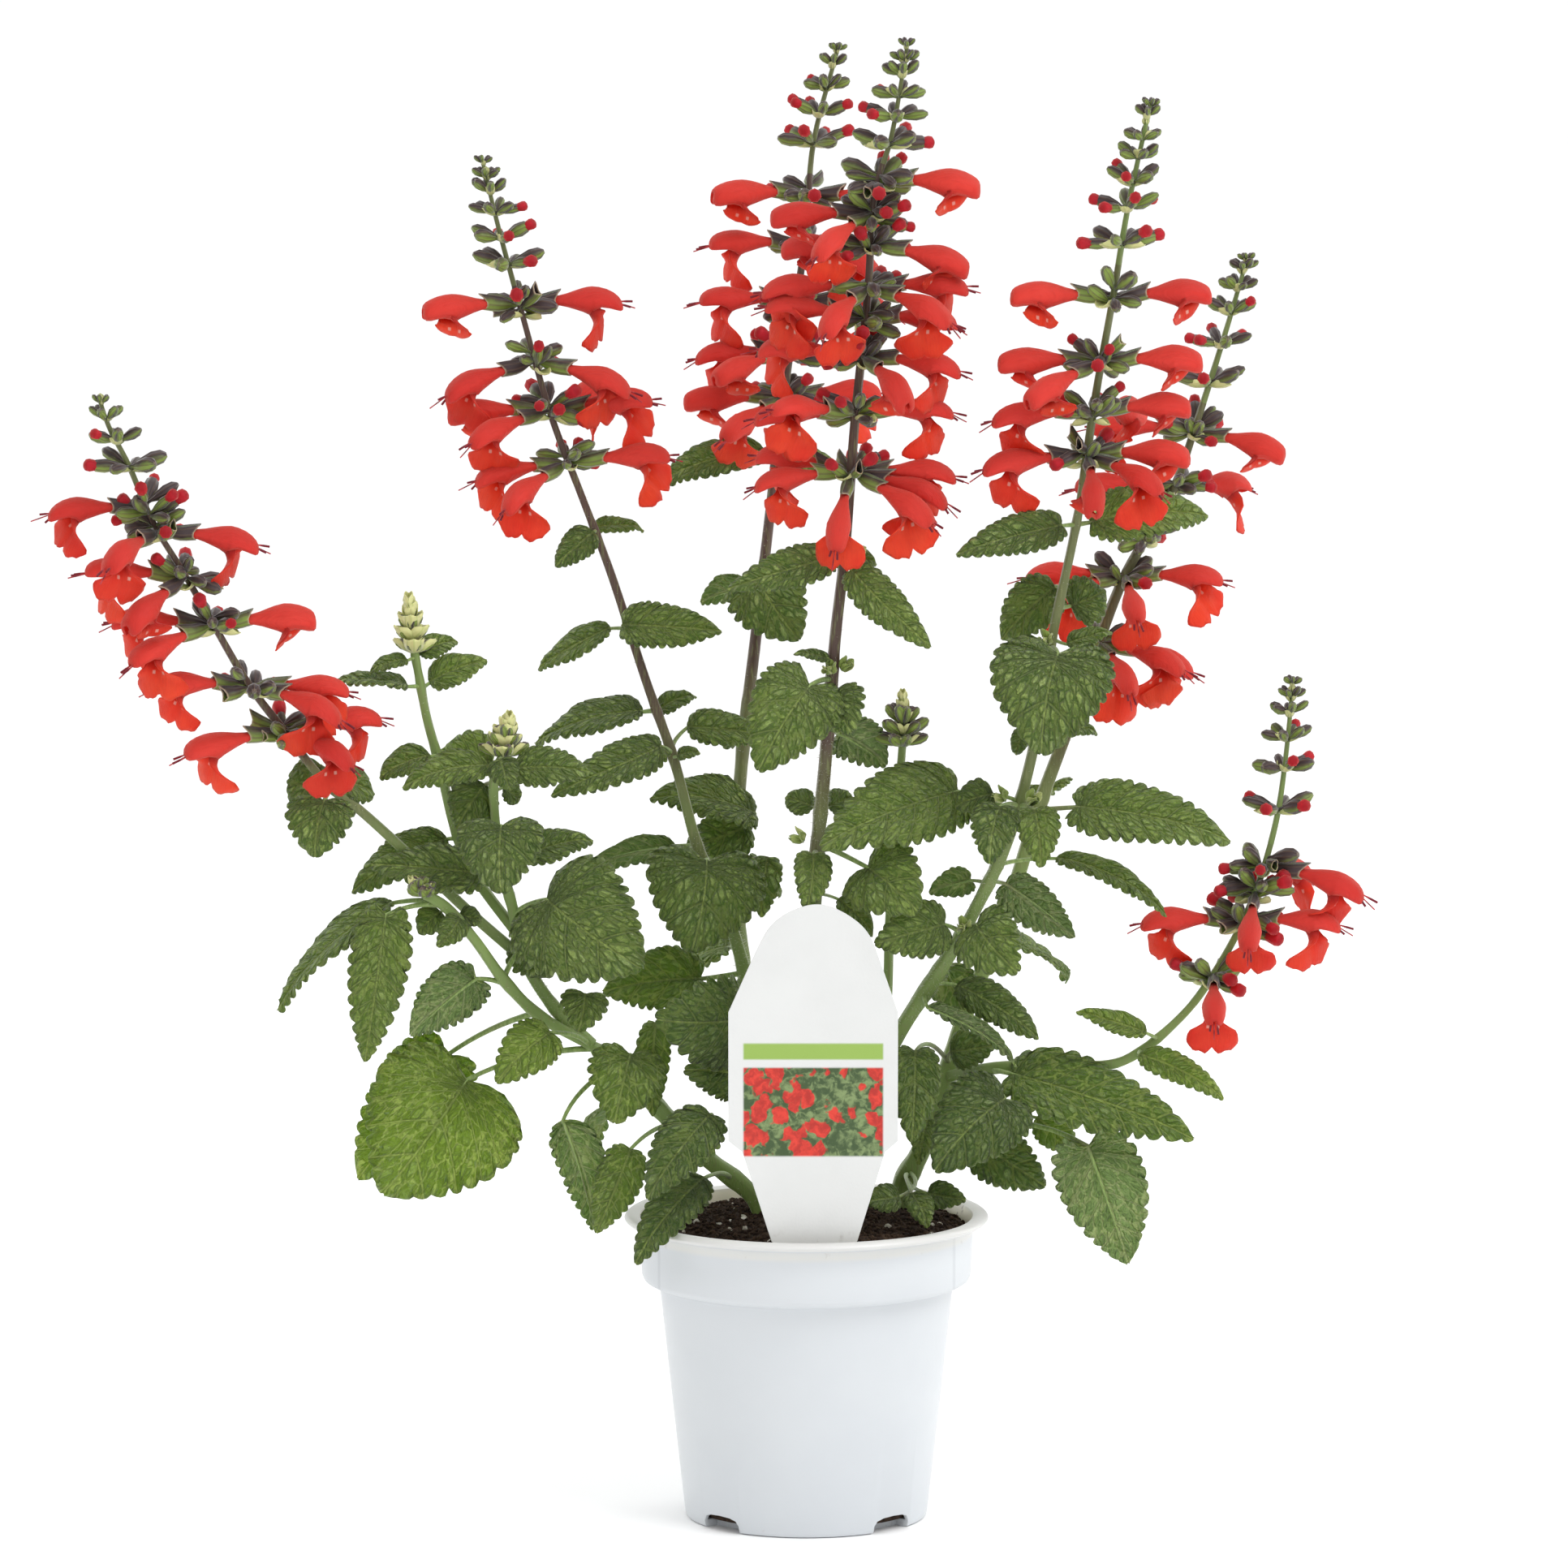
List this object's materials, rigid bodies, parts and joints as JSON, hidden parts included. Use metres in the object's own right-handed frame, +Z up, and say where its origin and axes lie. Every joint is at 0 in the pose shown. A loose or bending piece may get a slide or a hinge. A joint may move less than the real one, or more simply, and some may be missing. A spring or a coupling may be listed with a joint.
{
  "type": "potted scarlet sage",
  "caption": "Bedding plant with spikes of tubular red flowers on leafy stems, grown in a tapered round pot of soil with a blank pointed plant tag.",
  "frame": {"origin": "middle of the pot's flat base, on the surface that it stands on", "axes": "+Z up along the pot's axis, -Y toward the front that the tag faces, +X to the right seen from the front"},
  "size_m": [0.4027, 0.1868, 0.4639],
  "materials": {
    "pot": "smooth white moulded plastic with a soft gloss, slightly warm inside the lip",
    "soil": "dark brown crumbly potting compost with pale flecks",
    "tag": "smooth white printed plastic card, unmarked",
    "leaf": "matt green leaf with a net of sunken veins and a pale toothed edge",
    "petal": "velvety scarlet petal with light showing through",
    "bud": "downy green and dark red calyces and pale bracts"
  },
  "bodies": {
    "root": {"pot": "pot", "soil": "soil", "tag": "tag", "stem_left": "leaf", "stem_left_centre": "leaf", "stem_back": "leaf", "stem_centre": "leaf", "stem_right": "leaf", "stem_back_right": "leaf", "bloom_far_left": "petal", "buds_far_left": "bud", "bloom_left": "petal", "buds_left": "bud", "bloom_back": "petal", "buds_back": "bud", "bloom_centre": "petal", "buds_centre": "bud", "bloom_right": "petal", "buds_right": "bud", "bloom_back_right": "petal", "buds_back_right": "bud", "bloom_far_right": "petal", "buds_far_right": "bud"}
  },
  "joints": []
}
